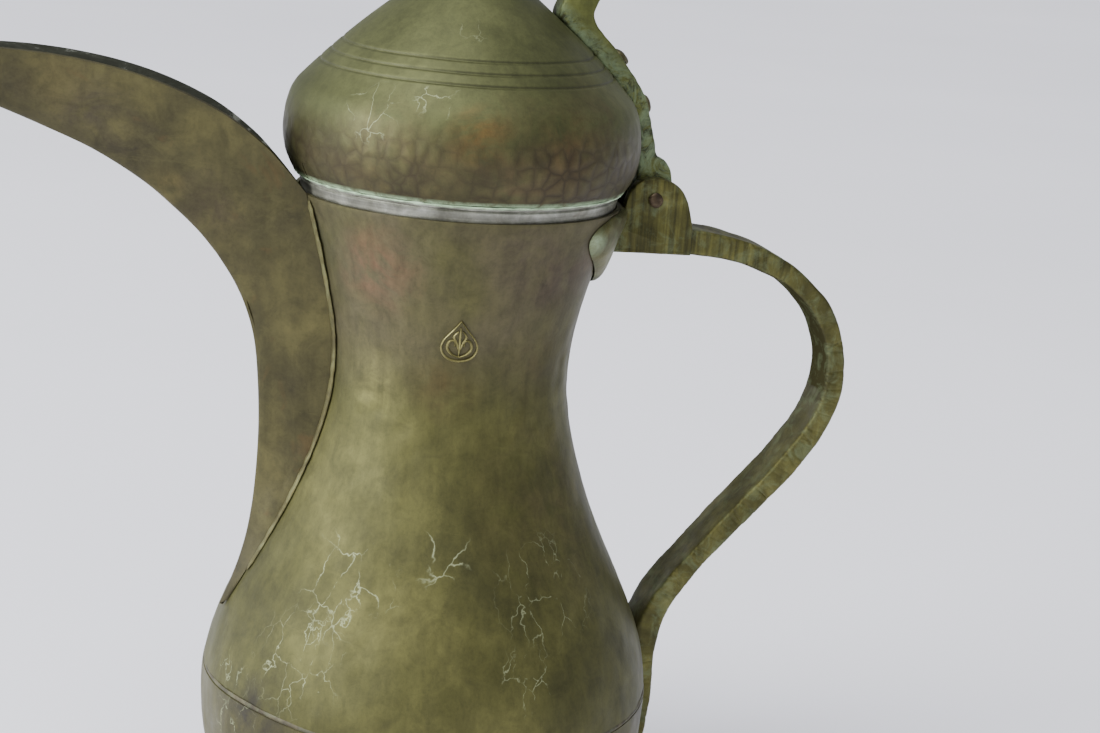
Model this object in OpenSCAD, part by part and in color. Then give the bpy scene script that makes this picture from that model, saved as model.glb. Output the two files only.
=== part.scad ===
// Dallah coffee pot: raised brass body with a lapped belly seam, an open beak spout soldered over
// a slot in the neck, a cast strap handle and a hinged bell lid. Millimetres.
// +Z is up, +X points to the handle, the spout points to -X, and the origin is the centre of the
// flat base.

/* [Body] */
// Thickness of the body sheet
wall_t = 1.3; // [1.0:0.1:1.6]
// Height of the lap between the upper shell and the lower bowl
seam_z = 64; // [60:1:68]
// How far the bowl's lip reaches up inside the shell
lap_h = 7; // [5:0.5:9]

/* [Spout] */
// Thickness of the spout sheet
spout_t = 1.3; // [1.0:0.1:1.6]
// How far the side sheets bulge outward between keel and edge
spout_bulge = 1.2; // [0.6:0.1:2.0]
// Radius of the solder bead along the spout root
bead_r = 1.1; // [0.8:0.1:1.4]

/* [Handle] */
// Width of the handle strap
strap_w = 17; // [15:0.5:18]
// Thickness of each hinge ear
ear_t = 3.4; // [2.8:0.1:4.0]
// Thickness of the leaf shaped neck pad
saddle_t = 3.4; // [1.6:0.1:4]

/* [Hinge] */
// Radius of the hinge pin
pin_r = 1.9; // [1.6:0.1:2.2]
// Width of the lid strap
tongue_w = 12; // [10:0.5:13]
// Side clearance of the strap between the ears
tongue_gap = 0.3; // [0.2:0.05:0.5]

/* [Lid] */
// Thickness of the lid sheet
lid_t = 1.4; // [1.1:0.1:1.6]
// Depth of the engraved rings
groove_r = 0.45; // [0.3:0.05:0.6]
// How far the bezel hangs below the lid edge
bezel_drop = 9; // [7:0.5:11]

/* [Hidden] */
$fn = 96;
fit = 0.03;          // seated faces stand this far apart
slip = 0.02;         // rivets and the tenon in their holes
step = 4;            // spacing of the points along a turned outline
seam_half_h = 0.8;   // half height of the soldered gap at the belly seam
rim_z = 224.6;       // rim of the neck
lid_z = 230;         // lower edge of the lid
lid_edge_r = 53;     // outer radius of the lid's lower edge
top_z = 297.4;       // flat seat on top of the lid
collar_top_z = 307;  // the spire stands on the collar at this height
tenon_low_z = 293.4; // lower end of the spire's tenon
tip_z = 340;         // tip of the spire
slot_low_z = 152;    // lower end of the pouring slot in the neck
pin_x = 63;
pin_z = 226.3;
knuckle_r = 5.6;     // radius of the strap's eye round the pin
heel_swing_r = 11.3; // the strap's heel turns inside this radius
arm_top_z = 216.6;   // top of the handle's arm behind the ears
nick_azimuth = 196;  // place of the nick in the lid's edge
nick_w = 0.8;
nick_h = 5;
RING_HEIGHTS = [265.2, 268.5, 271.8]; // engraved rings of the lid
bore_gap = 0.03;     // pin in the ears
knuckle_gap = 0.06;  // strap on the pin
rivet_r = 1.5;
rivet_head_r = 3.3;
rivet_head_h = 1.9;
foot_tail = 5.6;     // how far a foot rivet reaches in from the belly
foot_grip = 3.6;     // bowl and lip between the foot and its washer
rove_r = 3.6;
rove_t = 0.9;
finial_rove_r = 5;
tenon_r = 2.2;
ear_w = tongue_w + 2 * tongue_gap + 2 * ear_t;

// Outline of the pot as [height, radius]: foot, belly, waist, flared mouth
BODY = [[0, 47], [5, 54.4], [14, 62], [26, 68.4], [40, 72.7], [56, 74.2], [70, 73], [84, 69],
    [98, 63], [112, 56.4], [128, 49.4], [144, 43.8], [158, 40.6], [170, 39.7], [182, 40.7],
    [196, 43.9], [210, 47.8], [224.6, 52.3], [232, 54.8]];

// Outline of the lid as [height, radius]: edge, bulge, shoulder, cone
LID = [[230, 53], [233, 54.7], [237, 56.2], [243, 57], [249, 56.6], [254, 55.4], [257.6, 53.6],
    [260.6, 51], [264, 47.8], [268, 43.9], [276, 35.4], [284, 26], [291, 17], [297.4, 9]];

// Upper and lower line of the handle from the hinge block to the foot
HANDLE_OUT = [[70, 216.6], [80, 216.3], [90, 214.9], [101, 211.9], [110, 207.7], [117, 203.2],
    [123, 198], [128, 192.4], [132, 185.4], [134.6, 177.4], [135.4, 168.5], [134.8, 160.5],
    [132.5, 152.8], [128.6, 144.8], [122.6, 136.2], [115.6, 127.8], [108, 119.3],
    [100.2, 110.8], [92.8, 102.4], [86.5, 94], [81.4, 85.5], [78.6, 77], [77.8, 68], [78, 58],
    [77.4, 47], [75.4, 34]];
HANDLE_IN = [[66, 36], [69, 47], [70, 58], [70, 68], [69.4, 77], [73.4, 87.4], [79, 95.6],
    [85.4, 103.9], [92.4, 112.6], [100, 121.4], [107.6, 130.1], [115, 138.9], [121, 147],
    [125.4, 154.4], [127.9, 161.6], [128.6, 168.5], [127.7, 176.4], [124.6, 184.6],
    [119.6, 191.6], [113.2, 197.4], [106, 201.6], [98, 204.6], [90, 206.6], [80, 208],
    [70, 208.8], [60, 208.8]];

// Hinge ear seen from the side, above the block
EAR = [[76.8, 216.6], [75.6, 221.4], [74.2, 226], [71.8, 229.8], [68, 232.4], [63, 233.4],
    [58.8, 232.8], [55.6, 230.4], [53.6, 226.6], [52.6, 221]];

// Lid strap: outer line from the heel to the tip of the thumb piece and back to the lid
STRAP_OUT = [[63.3, 240.4], [62.4, 244], [61.4, 248], [60.5, 252], [59.3, 256], [57.6, 259.6],
    [55.2, 263.2], [52.4, 266.9], [49.9, 270.6], [46.6, 274.2], [42.6, 277.8], [39.7, 281.4],
    [39, 285], [41, 289.2], [44.4, 293.4], [48.8, 297.4], [53.8, 300.8], [58.6, 303.2],
    [60.6, 305.8], [57.4, 308.2], [50, 308.2], [42.6, 305.6], [36.4, 300.8], [31.8, 294.8],
    [28.8, 288.6], [27, 282]];

// Leaf outline of the neck pad as [side, height], one half
LEAF = [[0, 198], [6, 198.4], [12, 200], [18, 203.2], [25, 207.4], [31, 211.4], [35, 215.4],
    [36, 218.8], [34, 221.8], [29, 223.9]];

// Spout stations. Root part: [keel x, keel z, half width on the neck, height on the neck]
ROOT = [[-69.8, 86.4, 1.6, 88], [-65.8, 97, 4, 98], [-62.8, 108, 5.4, 109],
    [-61, 120, 6.6, 122], [-60.2, 133.5, 7.4, 138], [-60.2, 148, 8, 155],
    [-61.2, 162.5, 8.6, 172], [-63, 175.5, 9.6, 187], [-66.3, 186, 10.8, 201],
    [-70.6, 194.6, 12, 214], [-76, 202.6, 13, 225]];
// Free part: [keel x, keel z, edge x, half width, edge z]
BEAK = [[-82, 209.6, -57.6, 14.4, 232.6], [-89.8, 216.8, -65.4, 15.4, 240.2],
    [-100, 225, -78.6, 15, 249.4], [-114.6, 233.8, -98, 13.4, 257.6],
    [-129.6, 240.4, -118.6, 11.6, 262.4], [-146, 246.8, -140, 9.2, 264.6],
    [-162, 252.2, -159.4, 6.4, 264.2], [-176, 256, -175, 3.4, 261.8],
    [-187.4, 257.6, -187, 1.3, 259.6]];

FOOT_RIVETS = [[73.9, 51], [72.4, 39.5]];       // x, z on the belly
STRAP_RIVETS = [[55.1, 254.2, 22, 4.9], [45.4, 266.4, 45, 6.5]]; // x, z, tilt, strap thickness

// Smooth height-to-radius curve through the points of a list
function slope(p, i) =
    i <= 0 ? (p[1][1] - p[0][1]) / (p[1][0] - p[0][0]) :
    i >= len(p) - 1 ? (p[i][1] - p[i - 1][1]) / (p[i][0] - p[i - 1][0]) :
    (p[i + 1][1] - p[i - 1][1]) / (p[i + 1][0] - p[i - 1][0]);
function hermite(p, i, t, h) =
    (2 * t ^ 3 - 3 * t ^ 2 + 1) * p[i][1] + (t ^ 3 - 2 * t ^ 2 + t) * h * slope(p, i)
    + (3 * t ^ 2 - 2 * t ^ 3) * p[i + 1][1] + (t ^ 3 - t ^ 2) * h * slope(p, i + 1);
function radius_at(p, z, i = 0) =
    (z <= p[i + 1][0] || i == len(p) - 2)
        ? hermite(p, i, (z - p[i][0]) / (p[i + 1][0] - p[i][0]), p[i + 1][0] - p[i][0])
        : radius_at(p, z, i + 1);

// Point of a turned outline moved off its surface
function off_point(p, z, d) =
    let (r = radius_at(p, z), s = (radius_at(p, z + 0.1) - radius_at(p, z - 0.1)) / 0.2)
    [max(r + d / sqrt(1 + s * s), 0.01), z - d * s / sqrt(1 + s * s)];
function heights(lo, hi, n) = [for (i = [0:n]) lo + (hi - lo) * i / n];
function outline(p, lo, hi, d) =
    [for (z = heights(lo, hi, ceil((hi - lo) / step))) off_point(p, z, d)];
function backward(v) = [for (i = [len(v) - 1:-1:0]) v[i]];

// Smooth curve through every point of a list of vectors
function spline(p, i, t) =
    let (a = p[max(i - 1, 0)], b = p[i], c = p[i + 1], d = p[min(i + 2, len(p) - 1)])
    0.5 * (2 * b + (c - a) * t + (2 * a - 5 * b + 4 * c - d) * t ^ 2
        + (3 * b - a - 3 * c + d) * t ^ 3);
function smooth(p, n) = concat(
    [for (i = [0:len(p) - 2], k = [0:n - 1]) spline(p, i, k / n)], [p[len(p) - 1]]);

// Solid of the pot's or lid's outer surface grown by d, used to seat other pieces
module turned(p, lo, hi, d) {
    rotate_extrude()
        polygon(concat([[0, lo]], [for (q = outline(p, lo, hi, d)) [q[0], min(max(q[1], lo), hi)]],
            [[0, hi]]));
}

// Flat outline in X and Z drawn out along Y
module side_plate(points, w) {
    rotate([90, 0, 0])
        translate([0, 0, -w / 2])
            linear_extrude(w)
                polygon(points);
}

module across(x, z, r, w) {
    translate([x, 0, z])
        rotate([90, 0, 0])
            cylinder(r = r, h = w, center = true);
}

// Local frame on a rivet: +Z runs outward through the piece
module on_rivet(x, z, tilt) {
    translate([x, 0, z])
        rotate([0, 90 - tilt, 0])
            children();
}

module domed_rivet(x, z, tilt, out, tail) {
    on_rivet(x, z, tilt)
        rotate_extrude()
            polygon(concat([[0, -tail], [rivet_r, -tail], [rivet_r, out]],
                [for (a = [0:15:90]) [rivet_head_r * cos(a), out + rivet_head_h * sin(a)]]));
}

module rivet_space(x, z, tilt, out, grow) {
    on_rivet(x, z, tilt) {
        translate([0, 0, -12])
            cylinder(r = rivet_r + grow, h = 24);
        translate([0, 0, out - fit])
            cylinder(r = rivet_head_r + 0.15, h = 6);
    }
}

module rove(x, z, tilt, under) {
    on_rivet(x, z, tilt)
        difference() {
            translate([0, 0, -under - rove_t])
                cylinder(r = rove_r, h = rove_t);
            translate([0, 0, -12])
                cylinder(r = rivet_r + slip, h = 24);
        }
}

module base_bowl() {
    lip = wall_t + fit;
    low = outline(BODY, 0, seam_z - seam_half_h, 0);
    tuck = [off_point(BODY, seam_z, -lip), off_point(BODY, seam_z + lap_h, -lip)];
    inner = concat(outline(BODY, 4, seam_z - 8, -wall_t - 0.3),
        [off_point(BODY, seam_z - 1, -lip - wall_t), off_point(BODY, seam_z + lap_h, -lip - wall_t)]);
    color([0.46, 0.43, 0.27])
        difference() {
            rotate_extrude()
                polygon(concat([[0, 0]], low, tuck, backward(inner), [[46, wall_t], [0, wall_t]]));
            for (r = FOOT_RIVETS) rivet_space(r[0], r[1], 0, 20, slip);
        }
}

module body_shell() {
    outer = outline(BODY, seam_z + seam_half_h, rim_z, 0);
    inner = outline(BODY, seam_z, rim_z, -wall_t);
    edge = [for (q = inner) [q[0], min(max(q[1], seam_z), rim_z)]];
    color([0.5, 0.46, 0.3])
        difference() {
            rotate_extrude()
                polygon(concat(outer, backward(edge)));
            translate([-90, 0, 0])
                rotate([90, 0, 90])
                    linear_extrude(60)
                        polygon([[-10.6, 240], [-9.8, 214], [-7.4, 186], [-5.6, slot_low_z + 4],
                            [-3.6, slot_low_z], [3.6, slot_low_z], [5.6, slot_low_z + 4],
                            [7.4, 186], [9.8, 214], [10.6, 240]]);
        }
}

module belly_seam_solder() {
    r = radius_at(BODY, seam_z);
    color([0.33, 0.3, 0.24])
        rotate_extrude()
            polygon([[r - wall_t - fit, seam_z - 0.02], [r - fit, seam_z - 0.74],
                [r - fit, seam_z + 0.74], [r - wall_t + fit, seam_z + 0.02]]);
}

// Spout section: points from one edge over the keel to the other edge
function side_v(k, e, v) =
    let (m = [e[0] - k[0], e[2] - k[1]], d = norm(m), u = m / d, s = sign(v), a = abs(v),
        l = norm([d, e[1]]), b = spout_bulge * min(e[1] / 12, 1) * 4 * a * (1 - a))
    [k[0] + u[0] * (d * a - b * e[1] / l), s * (e[1] * a + b * d / l),
        k[1] + u[1] * (d * a - b * e[1] / l)];
function neck_x(y, z) = -sqrt((radius_at(BODY, z) + 0.06) ^ 2 - y * y);
function root_edge(y, z) = [neck_x(y, z), y, z];
VS = [-1, -0.8, -0.6, -0.4, -0.2, 0, 0.2, 0.4, 0.6, 0.8, 1];
function outer_ring(k, e) = [for (v = VS) side_v(k, e, v)];
function inner_ring(k, e, f) =
    let (m = [e[0] - k[0], e[2] - k[1]], d = norm(m), u = m / d,
        lift = min(spout_t * norm([d, e[1]]) / e[1], 0.5 * d), kk = k + lift * u)
    [for (v = VS) side_v(kk, f, v)];
function inner_edge(e) = [e[0], max(e[1] - spout_t, e[1] * 0.5), e[2]];
ROOT_FINE = smooth(ROOT, 3);
BEAK_FINE = smooth(concat([[ROOT[10][0], ROOT[10][1], neck_x(ROOT[10][2], ROOT[10][3]),
    ROOT[10][2], ROOT[10][3]]], BEAK), 3);
SPOUT_OUT = concat(
    [for (s = ROOT_FINE) outer_ring([s[0], s[1]], root_edge(s[2], s[3]))],
    [for (i = [1:len(BEAK_FINE) - 1])
        let (s = BEAK_FINE[i]) outer_ring([s[0], s[1]], [s[2], s[3], s[4]])]);
SPOUT_IN = concat(
    [for (s = ROOT_FINE) inner_ring([s[0], s[1]], root_edge(s[2], s[3]),
        root_edge(max(s[2] - spout_t, s[2] * 0.5), s[3]))],
    [for (i = [1:len(BEAK_FINE) - 1])
        let (s = BEAK_FINE[i]) inner_ring([s[0], s[1]], [s[2], s[3], s[4]],
            inner_edge([s[2], s[3], s[4]]))]);

module spout() {
    n = len(SPOUT_OUT);
    m = len(VS);
    rings = [for (i = [0:n - 1]) concat(SPOUT_OUT[i], backward(SPOUT_IN[i]))];
    points = [for (ring = rings, q = ring) q];
    c = 2 * m;
    skin = [for (i = [0:n - 2], j = [0:c - 1], h = [0:1])
        let (a = i * c + j, b = i * c + (j + 1) % c)
        h == 0 ? [a, a + c, b + c] : [a, b + c, b]];
    cap = [for (j = [0:m - 2], h = [0:1])
        let (a = j, b = j + 1, d = c - 1 - j, e = c - 2 - j)
        h == 0 ? [a, b, e] : [a, e, d]];
    tip = [for (f = cap) [f[2] + (n - 1) * c, f[1] + (n - 1) * c, f[0] + (n - 1) * c]];
    color([0.4, 0.36, 0.22])
        polyhedron(points = points, faces = concat(skin, cap, tip), convexity = 6);
}

// Solder bead in the corner between the spout sheet and the neck
module bead(side) {
    path = [for (i = [2:len(ROOT_FINE) - 2])
        let (s = ROOT_FINE[i], z = s[3], y = s[2], r = radius_at(BODY, z),
            a = asin(min((y + bead_r * 0.75) / r, 1)), q = r + bead_r + 0.02)
        [-q * cos(a), side * q * sin(a) + side * 0.9, z]];
    n = len(path);
    sides = 8;
    points = [for (i = [0:n - 1], j = [0:sides - 1])
        let (g = 360 * j / sides, w = bead_r * (0.86 + 0.1 * sin(i * 97)))
        path[i] + [w * cos(g), w * sin(g), 0]];
    skin = [for (i = [0:n - 2], j = [0:sides - 1], h = [0:1])
        let (a = i * sides + j, b = i * sides + (j + 1) % sides)
        h == 0 ? [a, a + sides, b + sides] : [a, b + sides, b]];
    low = [for (j = [1:sides - 2]) [0, j, j + 1]];
    high = [for (j = [1:sides - 2]) [0, j + 1, j] + (n - 1) * sides * [1, 1, 1]];
    polyhedron(points = points, faces = concat(skin, low, high), convexity = 4);
}

module spout_solder() {
    color([0.45, 0.4, 0.27])
        for (side = [-1, 1]) bead(side);
}

module neck_saddle() {
    color([0.36, 0.36, 0.2])
        difference() {
            intersection() {
                turned(BODY, 180, rim_z, saddle_t);
                translate([10, 0, 0])
                    rotate([90, 0, 90])
                        linear_extrude(60)
                            polygon(concat(LEAF, backward([for (q = LEAF) if (q[0] > 0) [-q[0], q[1]]])));
            }
            turned(BODY, 170, rim_z + 6, fit);
        }
}

module handle() {
    color([0.42, 0.43, 0.2])
        difference() {
            union() {
                side_plate(concat(smooth(HANDLE_OUT, 2), smooth(HANDLE_IN, 2)), strap_w);
                side_plate(concat([[44, 208.6], [76.8, 208.2]], smooth(EAR, 2), [[44, 219.6]]), ear_w);
            }
            across(pin_x, pin_z, heel_swing_r, tongue_w + 2 * tongue_gap);
            translate([pin_x, -tongue_w / 2 - tongue_gap, arm_top_z])
                cube([20, tongue_w + 2 * tongue_gap, 20]);
            across(pin_x, pin_z, pin_r + bore_gap, ear_w + 2);
            turned(BODY, 180, rim_z + 6, saddle_t + 2 * fit);
            turned(BODY, 20, 120, 2 * fit);
            for (r = FOOT_RIVETS) rivet_space(r[0], r[1], 0, radius_out(r), slip);
        }
}

// Distance from the belly to the outer face of the handle foot at a rivet
function radius_out(r) = r[1] > 45 ? 4.1 : 3.9;

module handle_foot_rivets() {
    color([0.48, 0.4, 0.22])
        for (r = FOOT_RIVETS) domed_rivet(r[0], r[1], 0, radius_out(r), foot_tail);
}

module handle_foot_roves() {
    color([0.5, 0.42, 0.24])
        for (r = FOOT_RIVETS) rove(r[0], r[1], 0, foot_grip);
}

module hinge_pin() {
    half = ear_w / 2;
    color([0.34, 0.24, 0.16])
        rotate([90, 0, 0])
            translate([pin_x, pin_z, 0])
                rotate_extrude()
                    polygon([[0, -half - 1.3], [1.6, -half - 1.1], [2.6, -half - 0.05],
                        [pin_r, -half - 0.05], [pin_r, half + 0.05], [2.6, half + 0.05],
                        [1.6, half + 1.1], [0, half + 1.3]]);
}

module lid_dome() {
    outer = outline(LID, lid_z, top_z, 0);
    inner = [for (q = outline(LID, lid_z, top_z - 1.6, -lid_t)) [q[0], max(q[1], lid_z)]];
    color([0.45, 0.43, 0.27])
        difference() {
            rotate_extrude()
                polygon(concat([[lid_edge_r - lid_t, lid_z]], outer, [[tenon_r + 0.3, top_z],
                    [tenon_r + 0.3, top_z - lid_t], [finial_rove_r + 0.6, top_z - lid_t]], backward(inner)));
            for (z = RING_HEIGHTS)
                rotate_extrude()
                    translate([radius_at(LID, z) + 0.1, z])
                        circle(r = groove_r, $fn = 24);
            for (r = STRAP_RIVETS) rivet_space(r[0], r[1], r[2], 20, slip);
            rotate([0, 0, nick_azimuth])
                translate([lid_edge_r - 5, -nick_w / 2, lid_z - 1])
                    cube([10, nick_w, nick_h + 1]);
        }
}

module lid_bezel() {
    low = lid_z - bezel_drop;
    color([0.58, 0.58, 0.54])
        rotate_extrude()
            polygon([[51.45, 233], [51.45, lid_z], [51.2, lid_z - 1], [50.3, rim_z],
                [50.3 - (rim_z - low) * 0.33, low], [49.1 - (rim_z - low) * 0.33, low],
                [49.1, rim_z], [50, lid_z - 1], [50.2, 233]]);
}

module bezel_solder() {
    color([0.7, 0.76, 0.64])
        rotate_extrude()
            polygon([[51.4, lid_z - 0.9], [52.1, lid_z - 0.9], [52.9, lid_z - 0.04],
                [51.5, lid_z - 0.04]]);
}

module lid_strap() {
    heel = [[57.4, 227], [57.3, 236], [50, 243], [44, 256], [36, 264], [28, 272], [24, 278]];
    back = [[69.2, 229.4], [69.5, 232.6], [68.8, 235.8], [66.6, 238.8]];
    color([0.44, 0.47, 0.32])
        difference() {
            union() {
                side_plate(concat(back, smooth(STRAP_OUT, 2), backward(heel)), tongue_w);
                across(pin_x, pin_z, knuckle_r, tongue_w);
            }
            turned(LID, lid_z - 4, top_z, fit);
            across(pin_x, pin_z, pin_r + knuckle_gap, tongue_w + 2);
            for (r = STRAP_RIVETS) rivet_space(r[0], r[1], r[2], r[3], slip);
        }
}

module lid_strap_rivets() {
    color([0.42, 0.38, 0.2])
        for (r = STRAP_RIVETS) domed_rivet(r[0], r[1], r[2], r[3], lid_t + 2.2);
}

module lid_strap_roves() {
    color([0.5, 0.42, 0.24])
        for (r = STRAP_RIVETS) rove(r[0], r[1], r[2], lid_t + 0.6);
}

module finial_collar() {
    color([0.44, 0.41, 0.24])
        rotate_extrude()
            polygon(concat([[tenon_r + fit, top_z + fit], [8.6, top_z + fit]],
                smooth([[8.6, 298.6], [7.8, 300], [5.6, 301.2], [4.4, 303], [4.6, 305],
                    [5.6, 306.4]], 2), [[5.6, collar_top_z], [tenon_r + fit, collar_top_z]]));
}

module finial_spire() {
    color([0.46, 0.43, 0.25])
        rotate_extrude()
            polygon(concat([[0, tenon_low_z], [tenon_r, tenon_low_z], [tenon_r, collar_top_z + fit]],
                smooth([[4.4, collar_top_z + fit], [5.9, 309.4], [6.4, 312.4], [5.6, 315.6], [3.6, 318],
                    [2.6, 320], [3.4, 322], [4.1, 324.2], [3.4, 326.6], [2.2, 329], [1.6, 333],
                    [1.1, 337]], 3), [[0.5, tip_z - 0.6], [0, tip_z]]));
}

module finial_rove() {
    color([0.5, 0.42, 0.24])
        translate([0, 0, top_z - lid_t - fit - rove_t])
            difference() {
                cylinder(r = finial_rove_r, h = rove_t);
                translate([0, 0, -1])
                    cylinder(r = tenon_r + slip, h = rove_t + 2);
            }
}

base_bowl();
body_shell();
belly_seam_solder();
spout();
spout_solder();
neck_saddle();
handle();
handle_foot_rivets();
handle_foot_roves();
hinge_pin();
lid_dome();
lid_bezel();
bezel_solder();
lid_strap();
lid_strap_rivets();
lid_strap_roves();
finial_collar();
finial_spire();
finial_rove();
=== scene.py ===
"""Looks for the dallah coffee pot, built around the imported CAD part. Lengths in helpers are millimetres."""

import math

import bmesh
import bpy
import numpy as np
from mathutils import Matrix, Vector


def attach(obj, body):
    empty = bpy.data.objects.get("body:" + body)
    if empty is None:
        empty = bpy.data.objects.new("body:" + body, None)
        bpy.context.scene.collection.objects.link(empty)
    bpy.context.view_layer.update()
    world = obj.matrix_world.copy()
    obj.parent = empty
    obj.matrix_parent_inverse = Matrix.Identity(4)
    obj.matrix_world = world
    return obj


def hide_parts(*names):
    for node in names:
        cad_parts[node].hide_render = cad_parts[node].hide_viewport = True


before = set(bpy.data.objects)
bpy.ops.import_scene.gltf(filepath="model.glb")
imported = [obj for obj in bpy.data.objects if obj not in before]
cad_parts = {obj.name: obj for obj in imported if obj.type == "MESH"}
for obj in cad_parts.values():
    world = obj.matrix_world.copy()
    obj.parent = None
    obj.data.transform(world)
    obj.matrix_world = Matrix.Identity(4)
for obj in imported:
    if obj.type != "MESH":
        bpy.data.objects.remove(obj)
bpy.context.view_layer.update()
MM = 0.001
TAU = 2 * math.pi

# ---- outlines shared with the CAD
BODY = [(0, 47), (5, 54.4), (14, 62), (26, 68.4), (40, 72.7), (56, 74.2), (70, 73), (84, 69), (98, 63),
        (112, 56.4), (128, 49.4), (144, 43.8), (158, 40.6), (170, 39.7), (182, 40.7), (196, 43.9),
        (210, 47.8), (224.6, 52.3), (232, 54.8)]
LID = [(230, 53), (233, 54.7), (237, 56.2), (243, 57), (249, 56.6), (254, 55.4), (257.6, 53.6),
       (260.6, 51), (264, 47.8), (268, 43.9), (276, 35.4), (284, 26), (291, 17), (297.4, 9)]
HANDLE_OUT = [(70, 216.6), (80, 216.3), (90, 214.9), (101, 211.9), (110, 207.7), (117, 203.2), (123, 198),
              (128, 192.4), (132, 185.4), (134.6, 177.4), (135.4, 168.5), (134.8, 160.5), (132.5, 152.8),
              (128.6, 144.8), (122.6, 136.2), (115.6, 127.8), (108, 119.3), (100.2, 110.8), (92.8, 102.4),
              (86.5, 94), (81.4, 85.5), (78.6, 77), (77.8, 68), (78, 58), (77.4, 47), (75.4, 34)]
HANDLE_IN = [(60, 208.8), (70, 208.8), (80, 208), (90, 206.6), (98, 204.6), (106, 201.6), (113.2, 197.4),
             (119.6, 191.6), (124.6, 184.6), (127.7, 176.4), (128.6, 168.5), (127.9, 161.6), (125.4, 154.4),
             (121, 147), (115, 138.9), (107.6, 130.1), (100, 121.4), (92.4, 112.6), (85.4, 103.9),
             (79, 95.6), (73.4, 87.4), (69.4, 77), (70, 68), (70, 58), (69, 47), (66, 36)]
EAR = [(76.8, 216.6), (75.6, 221.4), (74.2, 226), (71.8, 229.8), (68, 232.4), (63, 233.4), (58.8, 232.8),
       (55.6, 230.4), (53.6, 226.6), (52.6, 221)]
LEAF = [(0, 198), (6, 198.4), (12, 200), (18, 203.2), (25, 207.4), (31, 211.4), (35, 215.4), (36, 218.8),
        (34, 221.8), (29, 223.9)]
ROOT = [(-69.8, 86.4, 1.6, 88), (-65.8, 97, 4, 98), (-62.8, 108, 5.4, 109), (-61, 120, 6.6, 122),
        (-60.2, 133.5, 7.4, 138), (-60.2, 148, 8, 155), (-61.2, 162.5, 8.6, 172), (-63, 175.5, 9.6, 187),
        (-66.3, 186, 10.8, 201), (-70.6, 194.6, 12, 214), (-76, 202.6, 13, 225)]
BEAK = [(-82, 209.6, -57.6, 14.4, 232.6), (-89.8, 216.8, -65.4, 15.4, 240.2), (-100, 225, -78.6, 15, 249.4),
        (-114.6, 233.8, -98, 13.4, 257.6), (-129.6, 240.4, -118.6, 11.6, 262.4),
        (-146, 246.8, -140, 9.2, 264.6), (-162, 252.2, -159.4, 6.4, 264.2), (-176, 256, -175, 3.4, 261.8),
        (-187.4, 257.6, -187, 1.3, 259.6)]
# Lid strap, from the knuckle to the tip of the thumb piece: outer X and Z, inner X and Z
STRAP = [(63.6, 220.9, 62.4, 220.9), (66.8, 222.4, 59.2, 222.4), (68.5, 226.3, 57.5, 226.3),
         (69.2, 229.6, 57.4, 229), (69.4, 232.6, 57.4, 231.5), (68.7, 235.8, 57.3, 234.4),
         (66.4, 238.7, 57.2, 236.8), (63.3, 240.6, 57, 238.6), (62.2, 245, 56.9, 244),
         (60.5, 252, 56, 250.4), (57.6, 259.6, 53, 256.6), (52.4, 266.9, 46.4, 264.4),
         (46.6, 274.2, 39.6, 271.4), (42.6, 277.8, 35, 275.6), (39.7, 281.4, 30.2, 280),
         (39, 285, 27.4, 283.4), (41, 289.2, 28.8, 288.6), (44.4, 293.4, 31.8, 294.8),
         (48.8, 297.4, 36.4, 300.8), (53.8, 300.8, 42.6, 305.6), (58.6, 303.2, 50, 308.1),
         (60.5, 305.8, 57.4, 308.1)]
RIM_Z, LID_Z, TOP_Z, SEAM_Z = 224.6, 230.0, 297.4, 64.0
PIN_X, PIN_Z = 63.0, 226.3
EAR_W, TONGUE_W, STRAP_W, SADDLE_T = 19.4, 12.0, 17.0, 3.4
ARM_TOP = 216.6  # the ears are parted down to here behind the pin
PIN_R = 1.88
TONGUE_GAP = 0.3  # between the lid strap's knuckle and each ear
NICK_AZIMUTH = math.radians(196)
HEEL_SWING = 11.3  # radius swept by the strap's heel round the pin
NO_CHAMFER = 0.001
SLOT_EDGE = [(152, 3.6), (156, 5.6), (186, 7.4), (214, 9.8), (232, 10.6)]  # height, half width


def radius_at(table, z):
    """Smooth height-to-radius curve through a list of points."""
    h, r = np.array(table, float).T
    z = np.asarray(z, float)
    m = np.empty(len(h))
    m[1:-1] = (r[2:] - r[:-2]) / (h[2:] - h[:-2])
    m[0], m[-1] = (r[1] - r[0]) / (h[1] - h[0]), (r[-1] - r[-2]) / (h[-1] - h[-2])
    i = np.clip(np.searchsorted(h, z) - 1, 0, len(h) - 2)
    w = h[i + 1] - h[i]
    t = (z - h[i]) / w
    return ((2 * t**3 - 3 * t**2 + 1) * r[i] + (t**3 - 2 * t**2 + t) * w * m[i]
            + (3 * t**2 - 2 * t**3) * r[i + 1] + (t**3 - t**2) * w * m[i + 1])


def spline(points, n):
    """Catmull-Rom curve through the points, n steps between two of them."""
    p = np.array(points, float)
    ext = np.vstack([p[:1], p, p[-1:]])
    out = []
    for i in range(len(p) - 1):
        a, b, c, d = ext[i:i + 4]
        for t in np.arange(n) / n:
            out.append(0.5 * (2 * b + (c - a) * t + (2 * a - 5 * b + 4 * c - d) * t**2
                              + (3 * b - a - 3 * c + d) * t**3))
    out.append(p[-1])
    return np.array(out)


def resample(path, n):
    """n points at equal steps along a polyline of any dimension, measured in its first two columns."""
    s = np.concatenate([[0], np.cumsum(np.linalg.norm(np.diff(path[:, :2], axis=0), axis=1))])
    q = np.linspace(0, s[-1], n)
    return np.stack([np.interp(q, s, path[:, k]) for k in range(path.shape[1])], 1)


def loop_points(path, n):
    """n points at equal steps round a closed line that is given without its first point repeated."""
    return resample(np.vstack([path, path[:1]]), n + 1)[:-1]


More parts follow.
